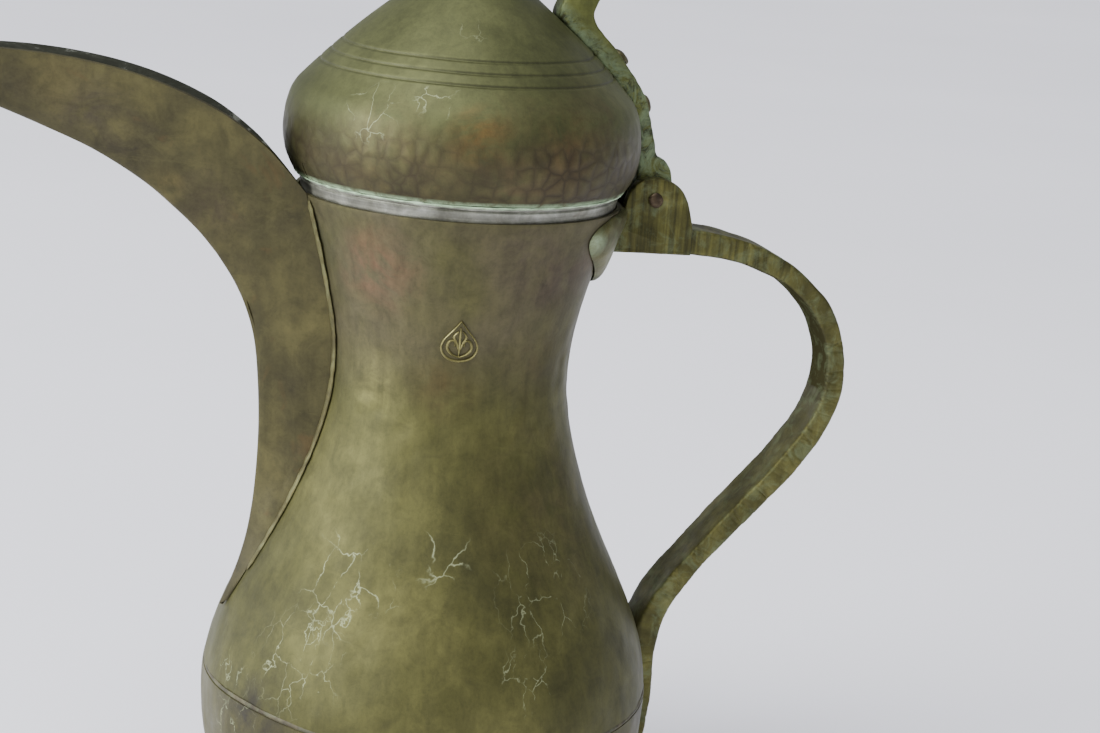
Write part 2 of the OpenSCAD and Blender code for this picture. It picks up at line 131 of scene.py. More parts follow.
def waves(p, size, seed, count=14):
    """Smooth random field of about -1 to 1 whose features are about size mm across."""
    g = np.random.default_rng(seed)
    k = g.normal(size=(count, p.shape[-1]))
    k *= (TAU / size * g.uniform(0.6, 1.5, count) / np.linalg.norm(k, axis=1))[:, None]
    return np.sin(p @ k.T + g.uniform(0, TAU, count)).sum(-1) / math.sqrt(count)


def dimples(p, centres, radii, depths):
    """Sum of shallow round hollows at the centres."""
    out = np.zeros(p.shape[:-1])
    for c, r, d in zip(centres, radii, depths):
        q = ((p - c) ** 2).sum(-1) / (r * r)
        out -= d * np.where(q < 1, (1 - q) ** 2, 0)
    return out


# ---- mesh helpers
def placed(name, data):
    """New object in the scene."""
    obj = bpy.data.objects.new(name, data)
    bpy.context.scene.collection.objects.link(obj)
    return obj


def mesh_object(name, verts, faces, sharp=35):
    mesh = bpy.data.meshes.new(name)
    verts = np.asarray(verts, float).reshape(-1, 3)
    mesh.from_pydata((verts * MM).tolist(), [], [tuple(map(int, f)) for f in faces])
    mesh.validate()
    mesh.update()
    obj = placed(name, mesh)
    soften(obj, sharp)
    return obj


def edit(obj, change):
    bm = bmesh.new()
    bm.from_mesh(obj.data)
    change(bm)
    bm.to_mesh(obj.data)
    bm.free()


def mesh_points(obj):
    return np.array([list(q.co) for q in obj.data.vertices]) / MM


def move_points(obj, v):
    obj.data.vertices.foreach_set("co", (v * MM).ravel())
    obj.data.update()


def soften(obj, sharp=35):
    edit(obj, lambda bm: bmesh.ops.recalc_face_normals(bm, faces=bm.faces))
    obj.data.shade_smooth()
    obj.data.set_sharp_from_angle(angle=math.radians(sharp))


def settle(obj, sharp=35):
    """Applies the object's modifiers to its mesh."""
    graph = bpy.context.evaluated_depsgraph_get()
    mesh = bpy.data.meshes.new_from_object(obj.evaluated_get(graph))
    obj.modifiers.clear()
    obj.data = mesh
    soften(obj, sharp)
    return obj


def join(name, objs):
    bm = bmesh.new()
    for o in objs:
        bm.from_mesh(o.data)
    mesh = bpy.data.meshes.new(name)
    bm.to_mesh(mesh)
    bm.free()
    for o in objs:
        bpy.data.objects.remove(o)
    obj = placed(name, mesh)
    soften(obj)
    return obj


def grid_faces(rows, cols, wrap_rows=False, wrap_cols=False, keep=None):
    faces = []
    for i in range(rows if wrap_rows else rows - 1):
        for j in range(cols if wrap_cols else cols - 1):
            a, b = i * cols + j, i * cols + (j + 1) % cols
            c, d = ((i + 1) % rows) * cols + (j + 1) % cols, ((i + 1) % rows) * cols + j
            if keep is None or keep[i, j]:
                faces.append((a, b, c, d))
    return faces


def tube_faces(rows, cols):
    """Faces of a tube that is closed at both ends."""
    last = (rows - 1) * cols
    caps = [tuple(range(cols))[::-1], tuple(range(last, last + cols))]
    return grid_faces(rows, cols, wrap_cols=True) + caps


def turned(name, profile, around, relief=None, closed=True, sharp=35):
    """Solid of revolution. profile: list of (r, z); relief(points) moves a point along its normal."""
    p = np.array(profile, float)
    nxt, prv = np.roll(p, -1, 0), np.roll(p, 1, 0)
    if not closed:
        nxt[-1], prv[0] = p[-1], p[0]
    t = nxt - prv
    t /= np.maximum(np.linalg.norm(t, axis=1), 1e-9)[:, None]
    nr, nz = t[:, 1], -t[:, 0]
    a = np.arange(around) * TAU / around
    x, y = np.outer(p[:, 0], np.cos(a)), np.outer(p[:, 0], np.sin(a))
    z = np.repeat(p[:, 1:2], around, 1)
    v = np.stack([x, y, z], -1)
    if relief is not None:
        d = relief(v)
        v = v + d[..., None] * np.stack([nr[:, None] * np.cos(a), nr[:, None] * np.sin(a),
                                         np.repeat(nz[:, None], around, 1)], -1)
    faces = grid_faces(len(p), around, wrap_rows=closed, wrap_cols=True)
    verts = v.reshape(-1, 3)
    if not closed:
        verts = np.vstack([verts, [0, 0, v[0, :, 2].mean()], [0, 0, v[-1, :, 2].mean()]])
        n = len(verts)
        last = (len(p) - 1) * around
        faces += [(n - 2, (j + 1) % around, j) for j in range(around)]
        faces += [(n - 1, last + j, last + (j + 1) % around) for j in range(around)]
    return mesh_object(name, verts, faces, sharp)


def offset_outline(table, zs, d):
    """Radius and height of a line that runs d outside the outline, measured along its normal."""
    r = radius_at(table, zs)
    s = (radius_at(table, zs + 0.1) - radius_at(table, zs - 0.1)) / 0.2
    k = np.sqrt(1 + s * s)
    return np.stack([r + d / k, zs - d * s / k], 1)


def dress(obj, material, body, slot, *nodes):
    """Material and body of a finished piece, and the CAD nodes that it stands for, which are hidden. slot is
    not used.
    """
    obj.data.materials.clear()
    obj.data.materials.append(material)
    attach(obj, body)
    if nodes:
        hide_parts(*nodes)
    return obj


# ---- materials
def lin(rgb):
    """sRGB 0-255 to linear."""
    c = np.array(rgb) / 255
    return tuple(np.where(c <= 0.04045, c / 12.92, ((c + 0.055) / 1.055) ** 2.4).tolist()) + (1.0,)


class Nodes:
    """Small helper for wiring one procedural material."""

    def __init__(self, name):
        self.mat = bpy.data.materials.new(name)
        self.mat.use_nodes = True
        self.tree = self.mat.node_tree
        self.bsdf = self.tree.nodes["Principled BSDF"]
        coord = self.tree.nodes.new("ShaderNodeTexCoord")
        self.place = coord.outputs["Object"]

    def link(self, a, b):
        self.tree.links.new(a, b)

    def put(self, v, socket):
        """Joins an output to the socket, or sets the socket to a plain value."""
        if hasattr(v, "is_output"):
            self.link(v, socket)
        else:
            socket.default_value = v

    def add(self, kind, **inputs):
        n = self.tree.nodes.new(kind)
        for k, v in inputs.items():
            self.put(v, n.inputs[k.replace("_", " ")])
        return n

    def stretched(self, scale):
        return self.add("ShaderNodeMapping", Vector=self.place, Scale=scale).outputs["Vector"]

    def noise(self, scale, detail=4.0, rough=0.55, warp=0.0, place=None):
        n = self.add("ShaderNodeTexNoise", Vector=place or self.place, Scale=scale, Detail=detail,
                     Roughness=rough, Distortion=warp)
        return n.outputs["Fac"]

    def ramp(self, fac, stops):
        n = self.add("ShaderNodeValToRGB", Fac=fac)
        e = n.color_ramp.elements
        while len(e) < len(stops):
            e.new(0.5)
        for k, (pos, value) in enumerate(stops):
            e[k].position = pos
            e[k].color = value if isinstance(value, tuple) else (value, value, value, 1)
        return n.outputs["Color"]

    def span(self, value, low, high):
        """0 where value is low, 1 where it is high, and held there beyond them."""
        n = self.add("ShaderNodeMapRange", Value=value, From_Min=low, From_Max=high)
        n.clamp = True
        return n.outputs["Result"]

    def math(self, op, a, b):
        n = self.tree.nodes.new("ShaderNodeMath")
        n.operation = op
        self.put(a, n.inputs[0])
        self.put(b, n.inputs[1])
        return n.outputs["Value"]

    def times(self, a, b):
        return self.math("MULTIPLY", a, b)

    def rest(self, a):
        return self.math("SUBTRACT", 1.0, a)

    def vector(self, op, *values):
        n = self.tree.nodes.new("ShaderNodeVectorMath")
        n.operation = op
        for v, socket in zip(values, n.inputs):
            self.put(v, socket)
        return n.outputs

    def axis(self, name, source=None):
        return self.add("ShaderNodeSeparateXYZ", Vector=source or self.place).outputs[name]

    def face_normal(self):
        return self.tree.nodes.new("ShaderNodeNewGeometry").outputs["True Normal"]

    def mix(self, fac, a, b, kind="MIX"):
        n = self.tree.nodes.new("ShaderNodeMix")
        n.data_type = "RGBA"
        n.blend_type = kind
        n.clamp_factor = True
        first, second = [q for q in n.inputs if q.name in ("A", "B") and q.type == "RGBA"]
        self.put(a, first)
        self.put(b, second)
        self.put(fac, n.inputs["Factor"])
        return [q for q in n.outputs if q.type == "RGBA"][0]

    def bump(self, height, strength, distance, normal=None):
        n = self.add("ShaderNodeBump", Height=height, Strength=strength, Distance=distance)
        if normal is not None:
            self.link(normal, n.inputs["Normal"])
        return n.outputs["Normal"]


def height_mask(m, low, high):
    """0 below low, 1 above high, in millimetres of height."""
    return m.span(m.axis("Z"), low * MM, high * MM)


def height_band(m, low, low_end, high, high_end):
    """1 between low_end and high, fading to 0 at low and at high_end."""
    return m.times(height_mask(m, low, low_end), m.rest(height_mask(m, high, high_end)))


def near(m, centre, inner, outer):
    """1 within inner mm of the centre, fading to 0 at outer mm."""
    away = m.vector("DISTANCE", m.place, [c * MM for c in centre])["Value"]
    return m.span(away, outer * MM, inner * MM)


CONE_SLOPE, CONE_SUM = 1.14, 348.0  # on the cone, radius + slope x height is this sum


def beside_cone(m):
    """1 against the lid's cone and beside its bulge, fading to 0 a few millimetres out from the cone."""
    flat = m.add("ShaderNodeCombineXYZ", X=m.axis("X"), Y=m.axis("Y")).outputs["Vector"]
    height = m.times(m.axis("Z"), CONE_SLOPE)
    total = m.math("ADD", m.vector("LENGTH", flat)["Value"], height)
    return m.span(total, (CONE_SUM + 11) * MM, (CONE_SUM + 4) * MM)


def voronoi_edge(m, scale, warp, warp_scale, width, stretch=(1, 1, 1), uneven=1.0):
    """Thin lines along the borders of warped cells."""
    warped = m.add("ShaderNodeTexNoise", Vector=m.place, Scale=warp_scale, Detail=6.0).outputs["Color"]
    spot = m.vector("MULTIPLY_ADD", warped, (warp, warp, warp), m.stretched(stretch))["Vector"]
    v = m.tree.nodes.new("ShaderNodeTexVoronoi")
    v.feature = "DISTANCE_TO_EDGE"
    m.link(spot, v.inputs["Vector"])
    v.inputs["Scale"].default_value = scale
    v.inputs["Randomness"].default_value = uneven
    return m.ramp(v.outputs["Distance"], [(0.0, 1.0), (width, 0.0)])


def brass(name, dark, mid, light, rough=(0.36, 0.6), metal=0.65, size=22.0, patch=None, stains_and_highlights=(),
          cracks=(), hammer=None, streaks=0.35, grain=0.25, verdigris=0.0, neck=None, painted_shade=None,
          by_lid=False, lining=None, filed=False, film=0.4, drawn=(1.0, 1.0, 0.07), deposit=None, rings=()):
    """Patinated brass: soft blotches, fine wiped streaks, placed stains with some painted highlights,
    hairline deposits, uneven gloss, and painted shade on faces turned one way.
    """
    m = Nodes(name)
    tone = m.ramp(m.noise(size, 5, 0.6, 0.4), [(0.30, lin(dark)), (0.50, lin(mid)), (0.72, lin(light))])
    if neck is not None:
        (low, high), tint = neck
        uneven = m.ramp(m.noise(24, 4, 0.6, 0.6), [(0.34, 0.25), (0.64, 1.0)])
        tone = m.mix(m.times(height_mask(m, low, high), uneven), tone, lin(tint))
    # Placed spots of colour: mostly stains, and on the belly and the neck pad a few painted highlights.
    for centre, radius, colour, strength in stains_and_highlights:
        ragged = m.ramp(m.noise(70, 6, 0.7, 0.8), [(0.38, 0.0), (0.62, 1.3)])
        part = m.times(near(m, centre, 0, radius * 1.3), ragged)
        tone = m.mix(m.times(part, strength), tone, lin(colour))
    if filed:
        marks = m.ramp(m.noise(520, 3, 0.6, 0.0, m.stretched((1.0, 1.0, 0.04))),
                       [(0.40, 0.42), (0.52, 1.05), (0.60, 1.5)])
        tone = m.mix(m.times(height_mask(m, 200, 206), 0.75), tone, marks, "MULTIPLY")
    wiped = m.ramp(m.noise(260, 4, 0.6, 0.0, m.stretched(drawn)), [(0.36, 0.66), (0.58, 1.08)])
    tone = m.mix(streaks, tone, wiped, "MULTIPLY")
    cloud = m.ramp(m.noise(110, 6, 0.68, 1.0), [(0.34, 0.62), (0.60, 1.12)])
    tone = m.mix(film, tone, cloud, "MULTIPLY")
    speck = m.ramp(m.noise(900, 2, 0.6), [(0.40, 0.7), (0.50, 1.0)])
    tone = m.mix(0.3, tone, speck, "MULTIPLY")
    if patch is not None:
        spots = m.ramp(m.noise(42, 4, 0.6, 1.5), [(0.62, 0.0), (0.70, 1.0)])
        tone = m.mix(m.times(spots, 0.45), tone, lin(patch))
    # Painted shade: faces turned along the given direction are darkened to a shade colour and made less
    # metallic and less specular.
    if painted_shade is not None:
        direction, shade_colour = painted_shade
        inner = m.ramp(m.vector("DOT_PRODUCT", m.face_normal(), direction)["Value"],
                       [(0.25, 0.0), (0.7, 1.0)])
        tone = m.mix(m.times(inner, 0.9), tone, lin(shade_colour))
        unshaded = m.rest(inner)
        m.link(m.times(unshaded, metal), m.bsdf.inputs["Metallic"])
        m.link(m.times(unshaded, 0.5), m.bsdf.inputs["Specular IOR Level"])
    if lining is not None:
        inward = m.times(m.axis("Y", m.face_normal()), m.axis("Y"))
        worn = m.ramp(m.noise(120, 8, 0.78, 0.4, m.stretched((0.35, 1.0, 1.0))),
                      [(0.46, lin(lining)), (0.57, lin([c + 14 for c in lining])),
                       (0.62, lin([c + 78 for c in lining]))])
        tone = m.mix(m.span(inward, 0.0, -0.0006), tone, worn)
    gloss = m.ramp(m.noise(60, 5, 0.65, 0.5), [(0.25, rough[1]), (0.75, rough[0])])
    normal = m.bump(m.noise(900, 3, 0.6), grain, 0.00015)
    normal = m.bump(m.noise(55, 3, 0.5), 0.18, 0.001, normal)
    scratch = m.ramp(m.noise(16, 9, 0.75, 0.6, m.stretched((1.0, 1.0, 9.0))),
                     [(0.62, 0.0), (0.645, 1.0), (0.67, 0.0)])
    tone = m.mix(m.times(scratch, 0.22), tone, lin(light))
    if hammer is not None:
        (low, high), fade, cell, border, deep = hammer
        line = m.math("POWER", voronoi_edge(m, cell, 0.0022, 160.0, 0.42, uneven=0.7), 1.7)
        struck = m.ramp(m.noise(34, 3, 0.5), [(0.36, 0.35), (0.60, 1.0)])
        line = m.times(line, m.times(height_band(m, low, low + 2, high - fade, high), struck))
        tone = m.mix(m.times(line, deep), tone, lin(border))
        normal = m.bump(m.rest(line), 0.3, 0.0004, normal)
    for z in rings:
        part = height_band(m, z - RING_HALF, z, z, z + RING_HALF)
        tone = m.mix(m.times(part, 0.5), tone, lin((48, 48, 36)))
    for centre, radius, fine in cracks:
        line = voronoi_edge(m, fine, 0.016, 75.0, 0.020, (1, 1, 0.55))
        broken = m.ramp(m.noise(95, 5, 0.65), [(0.43, 0.0), (0.54, 1.0)])
        part = m.times(near(m, centre, radius * 0.5, radius), broken)
        mark = m.times(m.times(line, part), 0.52)
        tone = m.mix(mark, tone, lin((182, 190, 150)))
        gloss = m.mix(mark, gloss, (0.85, 0.85, 0.85, 1))
    if deposit is not None:
        low, top = deposit
        crust = m.ramp(m.noise(170, 6, 0.7, 0.5), [(0.36, 0.1), (0.56, 1.0)])
        part = m.times(height_band(m, low - 0.5, low, top - 1.2, top), crust)
        tone = m.mix(part, tone, lin((146, 168, 134)))
        gloss = m.mix(part, gloss, CHALKY)
    if verdigris:
        if by_lid:
            beside = beside_cone(m)
            green = m.times(beside, m.ramp(m.noise(130, 8, 0.78, 1.2), [(0.44, 0.0), (0.60, 1.0)]))
            pits = m.ramp(m.noise(230, 7, 0.78, 1.0), [(0.47, 0.0), (0.53, 1.0)])
            tone = m.mix(m.times(m.times(pits, beside), 0.8), tone, lin((36, 40, 28)))
        else:
            green = m.ramp(m.noise(150, 7, 0.72, 0.8), [(0.48, 0.0), (0.66, 1.0)])
        green = m.times(green, verdigris)
        tone = m.mix(green, tone, lin((126, 142, 108)))
        gloss = m.mix(green, gloss, CHALKY)
    m.link(tone, m.bsdf.inputs["Base Color"])
    m.link(gloss, m.bsdf.inputs["Roughness"])
    m.link(normal, m.bsdf.inputs["Normal"])
    m.bsdf.inputs["Metallic"].default_value = metal
    return m.mat


RING_HALF = 0.45  # half the width of the dark line in each ring, in mm
CHALKY = (0.9, 0.9, 0.9, 1)  # roughness of corrosion
GROOVES = (265.2, 268.5, 271.8)  # heights of the three rings cut round the lid
BELLY_CRACKS = [((-37, -45, 108), 20, 95.0), ((-52, -46, 84), 20, 150.0), ((-8, -52, 119), 11, 60.0),
                ((26, -52, 108), 21, 110.0), ((-68, -24, 68), 12, 110.0), ((18, -66, 84), 12, 120.0),
                ((-30, 44, 100), 18, 100.0), ((40, 45, 95), 16, 120.0)]
# Placed stains on the belly; the pale yellow patch at the waist, at (-30, -28, 168), is a painted glint of
# hammer marks.
BELLY_STAINS_AND_GLINT = [((-32, -34, 206), 14, (122, 80, 60), 0.5), ((10, -48, 216), 13, (72, 62, 52), 0.6),
               ((25, -39, 205), 15, (66, 54, 44), 0.7), ((22, -36, 178), 12, (70, 60, 38), 0.6),
               ((-8, -39, 171), 11, (74, 64, 34), 0.75), ((-30, -28, 168), 10, (138, 134, 78), 0.5),
               ((41, -26, 213), 14, (84, 66, 46), 0.6), ((34, -44, 135), 30, (88, 80, 50), 0.6),
               ((-46, -18, 213), 9, (66, 70, 50), 0.6), ((-62, -38, 66), 9, (44, 40, 36), 0.7)]
body_mat = brass("body_patina_and_glint", (61, 60, 31), (76, 75, 38), (94, 92, 50), rough=(0.5, 0.62), film=0.55,
                 stains_and_highlights=BELLY_STAINS_AND_GLINT, cracks=BELLY_CRACKS, neck=((162, 184), (84, 78, 55)), streaks=0.5)
bowl_mat = brass("bowl_patina", (58, 55, 33), (76, 73, 40), (94, 90, 52), patch=(84, 68, 46),
                 rough=(0.42, 0.6), stains_and_highlights=[((-62, -38, 58), 18, (40, 36, 32), 0.8)],
                 cracks=[((-66, -30, 56), 14, 120.0)])
spout_mat = brass("spout_patina", (46, 42, 26), (68, 64, 37), (88, 83, 48), patch=(80, 62, 34),
                  lining=(56, 58, 48), rough=(0.46, 0.6), size=34.0, film=0.6,
                  stains_and_highlights=[((-82, -8, 216), 14, (60, 52, 38), 0.8), ((-120, -8, 248), 16, (62, 56, 42), 0.8),
                         ((-104, -8, 236), 12, (46, 40, 30), 0.8), ((-70, -8, 196), 10, (50, 44, 28), 0.7),
                         ((-96, -8, 222), 8, (104, 92, 48), 0.7), ((-60, -10, 160), 16, (66, 62, 36), 0.7),
                         ((-128, -8, 256), 10, (96, 88, 50), 0.6)])
lid_mat = brass("lid_patina", (62, 65, 37), (75, 78, 45), (89, 92, 56), rough=(0.48, 0.6),
                rings=GROOVES,
                neck=((255, 240), (68, 62, 37)),
                stains_and_highlights=[((-7, -55, 251), 9, (104, 78, 36), 0.8), ((22, -52, 249), 10, (98, 76, 42), 0.6),
                       ((33, -41, 252), 16, (80, 66, 44), 0.6), ((-30, -46, 240), 20, (92, 80, 48), 0.5),
                       ((10, -55, 238), 24, (88, 74, 48), 0.6)],
                hammer=((229, 254), 9, 180.0, (46, 38, 24), 0.85), deposit=(229, 231.5),
                cracks=[((-37, -40, 256), 11, 110.0), ((-19, -47, 261), 8, 110.0),
                        ((-6, -34, 284), 8, 120.0)])
# The cast handle gets painted shade on its faces turned towards the pot, inside the loop.
cast_mat = brass("cast_patina_painted_shade", (58, 55, 25), (76, 74, 34), (100, 97, 50), rough=(0.42, 0.62), size=60,
                 grain=0.45, verdigris=0.28, streaks=0.7, painted_shade=((-0.8, 0, -0.55), (52, 50, 34)), filed=True)
# The pale green spot at the pad's near edge is verdigris; the brighter brass spot at (48, -22, 208) is a
# painted highlight.
pad_mat = brass("pad_patina_and_highlight", (62, 60, 30), (82, 80, 42), (108, 104, 62), rough=(0.42, 0.62), size=60,
                grain=0.45, verdigris=0.3, stains_and_highlights=[((37, -37, 214), 6, (156, 176, 144), 1.0),
                                                  ((48, -22, 208), 8, (104, 100, 48), 0.8)])
strap_mat = brass("strap_patina", (66, 68, 32), (86, 90, 44), (106, 110, 60), rough=(0.45, 0.7),
                  size=70, grain=0.45, verdigris=0.85, by_lid=True)
rivet_mat = brass("rivet_patina", (60, 56, 34), (84, 80, 50), (116, 112, 76), rough=(0.4, 0.56), size=160)
# The raised mark is coloured lighter than the body: partly rubbed golden brass, partly a painted highlight.
mark_mat = brass("mark_worn_and_highlit", (92, 86, 48), (118, 112, 66), (150, 144, 92), rough=(0.34, 0.5), size=160)
pin_mat = brass("pin_patina", (40, 32, 22), (68, 55, 38), (98, 84, 60), rough=(0.4, 0.6), size=220)
finial_mat = brass("finial_patina", (66, 60, 32), (92, 86, 48), (120, 114, 70), rough=(0.34, 0.5),
                   size=90)
tin_mat = brass("tinned_surface", (96, 95, 84), (136, 136, 124), (182, 182, 172), patch=(92, 80, 58),
                rough=(0.34, 0.55), size=70, drawn=(0.06, 0.06, 2.4), streaks=0.9, film=0.6,
                deposit=(229.4, 230.8))
pale_solder_mat = brass("solder_pale", (62, 58, 32), (84, 79, 43), (110, 104, 62), rough=(0.5, 0.7),
                        size=150, metal=0.5, verdigris=0.2)
dark_solder_mat = brass("solder_dark", (44, 40, 30), (70, 64, 46), (100, 94, 68), rough=(0.5, 0.75),
                        size=120, metal=0.4, verdigris=0.25)
green_mat = brass("verdigris_line", (134, 158, 122), (172, 198, 160), (204, 222, 192), rough=(0.6, 0.85),
                  size=200, metal=0.2)

# ---- body shell and bowl
AROUND = 400  # columns round the body
BLOWS = 150  # hammer blows round the waist
SHEET = 1.2  # thickness of the sheet in body and spout, in mm


def half_slot(z):
    h, w = np.array(SLOT_EDGE, float).T
    return np.interp(z, h, w, left=0)


def seam_wave(a):
    """How far the belly seam strays from level, in mm, at azimuth a."""
    far = a - math.radians(190)
    return (1.4 * np.cos(far) + 1.2 * np.cos(2 * far) - 0.9 + 0.25 * np.sin(5 * a + 1) + 0.15 * np.sin(9 * a))


def dents(p, seed):
    return 0.20 * waves(p, 46, seed) + 0.09 * waves(p, 17, seed + 1) + 0.03 * waves(p, 7, seed + 2) - 0.28


def body_shell():
    zs = np.linspace(SEAM_Z + 0.5, RIM_Z, 230)
    a = np.arange(AROUND) * TAU / AROUND + math.pi / AROUND
    fade = np.clip(1 - (zs - zs[0]) / 24, 0, 1)[:, None]
    z = zs[:, None] + fade * seam_wave(a)[None, :]
    r = radius_at(BODY, z)
    p = np.stack([r * np.cos(a), r * np.sin(a), z], -1)
    lip = np.clip((RIM_Z - z) / 1.2, 0, 1)
    g = np.random.default_rng(13)
    blow_z, blow_a = g.uniform(146, 180, BLOWS), g.uniform(0, TAU, BLOWS)
    blow_r = radius_at(BODY, blow_z)
    blows = np.stack([blow_r * np.cos(blow_a), blow_r * np.sin(blow_a), blow_z], 1)
    d = dents(p, 11) * np.clip((RIM_Z - z) / 6, 0, 1) - 0.25 * (1 - lip) ** 2
    d += dimples(p, blows, g.uniform(3.5, 6.5, BLOWS), g.uniform(0.08, 0.2, BLOWS))
    p[..., 0] += d * np.cos(a)
    p[..., 1] += d * np.sin(a)
    mid_z = (z[1:, :] + z[:-1, :]) / 2
    q = (p[1:] + p[:-1]) / 2
    q = (q + np.roll(q, -1, 1)) / 2
    keep = ~((np.abs(q[..., 1]) < half_slot(mid_z)) & (q[..., 0] < 0))
    obj = mesh_object("body_shell", p, grid_faces(len(zs), AROUND, wrap_cols=True, keep=keep))
    edit(obj, lambda bm: bmesh.ops.delete(bm, geom=[v for v in bm.verts if not v.link_faces],
                                          context="VERTS"))
    thick = obj.modifiers.new("sheet", "SOLIDIFY")
    thick.thickness, thick.offset = SHEET * MM, -1
    settle(obj, 50)
    return dress(obj, body_mat, "pot", "body_brass", "body_shell")


def base_bowl():
    zs = np.concatenate([np.linspace(0, 8, 14), np.linspace(9, SEAM_Z - 0.9, 60)])
    outer = offset_outline(BODY, zs, 0)
    lip_z = np.linspace(SEAM_Z, SEAM_Z + 7, 8)
    lip = offset_outline(BODY, lip_z, -1.38)
    inner = offset_outline(BODY, np.concatenate([np.linspace(4, 56, 30), [63, 71]]), -1.6)
    inner[-2:] = offset_outline(BODY, np.array([63.0, 71.0]), -2.63)
    prof = np.vstack([[0.02, 0], [20, 0], [40, 0], outer, lip, inner[::-1], [30, 1.3], [0.02, 1.3]])
    n_out = 3 + len(outer)

    def relief(v):
        d = dents(v, 31)
        d *= np.clip(v[..., 2] / 8, 0, 1) * np.clip((SEAM_Z - v[..., 2]) / 5, 0, 1)
        d[n_out:] = 0
        return d
    obj = turned("base_bowl", prof, AROUND, relief, closed=False)
    v = mesh_points(obj)
    a = np.arctan2(v[:, 1], v[:, 0])
    rise = seam_wave(a) * np.clip((v[:, 2] - 40) / 24, 0, 1) * (v[:, 2] < 70)
    old = radius_at(BODY, np.clip(v[:, 2], 0, 230))
    v[:, 2] += rise
    scale = 1 + (radius_at(BODY, np.clip(v[:, 2], 0, 230)) - old) / np.maximum(np.hypot(v[:, 0], v[:, 1]), 20)
    v[:, :2] *= np.where(np.abs(rise) > 0, scale, 1)[:, None]
    move_points(obj, v)
    return dress(obj, bowl_mat, "pot", "bowl_brass", "base_bowl")


def seam_solder():
    a = np.arange(AROUND) * TAU / AROUND
    ring = []
    for j, t in enumerate(a):
        c = np.array([math.cos(t), math.sin(t), 0])
        z0 = SEAM_Z - 0.1 + float(seam_wave(t))
        lump = 0.16 * math.sin(23 * t) + 0.12 * math.sin(41 * t + 2)
        high = 0.75 + 0.3 * lump
        r = float(radius_at(BODY, z0))
        sec = [(r - 1.2, z0), (r - 0.35, z0 - high), (r - 0.06 + 0.05 * lump, z0 - high * 0.4),
               (r - 0.06 + 0.05 * lump, z0 + high * 0.4), (r - 0.35, z0 + high)]
        ring.append([c * s[0] + np.array([0, 0, s[1]]) for s in sec])
    v = np.array(ring)
    obj = mesh_object("belly_seam_solder", v, grid_faces(len(a), 5, wrap_rows=True,
                                                                        wrap_cols=True))
    return dress(obj, dark_solder_mat, "pot", "dark_solder", "belly_seam_solder")


body_shell()
base_bowl()
seam_solder()

# ---- spout
SPOUT_BULGE = 1.2  # how far each cheek swells past the straight fold, in mm
CHEEK = (-0.08, -0.012, 0.225)  # on the near cheek, tells the sheet's outside; metres


def neck_x(y, z):
    return -np.sqrt((radius_at(BODY, z) + 0.06) ** 2 - y * y)


root = spline(ROOT, 12)
beak = spline([(ROOT[-1][0], ROOT[-1][1], float(neck_x(ROOT[-1][2], ROOT[-1][3])), ROOT[-1][2],
                ROOT[-1][3])] + BEAK, 14)
keel = np.vstack([root[:, :2], beak[1:, :2]])
edge = np.vstack([np.stack([neck_x(root[:, 2], root[:, 3]), root[:, 2], root[:, 3]], 1), beak[1:, 2:]])


def spout():
    v = np.linspace(-1, 1, 57)
    soft = np.sqrt(v * v + 0.05 ** 2) - 0.05 * np.exp(-(v / 0.25) ** 2)
    soft = soft / soft[-1]
    rows = []
    for k, e in zip(keel, edge):
        m = np.array([e[0] - k[0], e[2] - k[1]])
        d = np.linalg.norm(m)
        u = m / d
        ln = math.hypot(d, e[1])
        b = SPOUT_BULGE * min(e[1] / 12, 1) * 4 * np.abs(v) * (1 - np.abs(v))
        along = d * soft - b * e[1] / ln
        side = np.sign(v) * (e[1] * np.abs(v) + b * d / ln)
        rows.append(np.stack([k[0] + u[0] * along, side, k[1] + u[1] * along], 1))
    p = np.array(rows)
    inward = np.clip((1 - np.abs(v)) * 4, 0, 1) * np.clip(np.arange(len(keel)) / 12, 0, 1)[:, None]
    inward = inward * np.clip((len(keel) - np.arange(len(keel))) / 20, 0, 1)[:, None]
    d = (0.22 * waves(p, 34, 51) + 0.1 * waves(p, 13, 52)) * inward
    p[..., 1] += d * np.sign(v)
    obj = mesh_object("spout", p, grid_faces(len(keel), len(v)), 60)
    thick = obj.modifiers.new("sheet", "SOLIDIFY")
    thick.thickness = SHEET * MM
    cheek = min(obj.data.polygons, key=lambda f: (f.center - Vector(CHEEK)).length)
    thick.offset = -1 if cheek.normal.y < 0 else 1
    settle(obj, 60)
    return dress(obj, spout_mat, "pot", "spout_brass", "spout")


def solder_bead(side):
    n = 240
    i0, i1 = 14, len(root) - 3
    path = resample(np.stack([root[i0:i1, 3], root[i0:i1, 2]], 1), n)
    g = np.random.default_rng(5 + side)
    lumps = np.convolve(g.normal(size=n + 16), np.hanning(9) / 4, "same")[8:8 + n]
    rows = []
    for i, (z, y) in enumerate(path):
        r = float(radius_at(BODY, z))
        a = math.asin((y + 0.8) / r)
        size = (0.95 + 0.18 * lumps[i]) * min(1, i / 8 + 0.3, (n - i) / 8 + 0.3)
        q = r + 0.15
        c = np.array([-q * math.cos(a), side * (q * math.sin(a) + 0.55), z + 0.15 * lumps[i]])
        out = np.array([-math.cos(a), side * math.sin(a), 0])
        across = np.array([math.sin(a), side * math.cos(a), 0])
        ring = [c + size * (0.6 * math.cos(t) * out + 1.3 * math.sin(t) * across)
                for t in np.arange(12) * TAU / 12]
        rows.append(ring)
    v = np.array(rows)
    return mesh_object(f"bead_{side + 1}", v, tube_faces(n, 12), 80)


spout()
dress(join("spout_solder", [solder_bead(-1), solder_bead(1)]), pale_solder_mat, "pot", "pale_solder",
      "spout_solder")


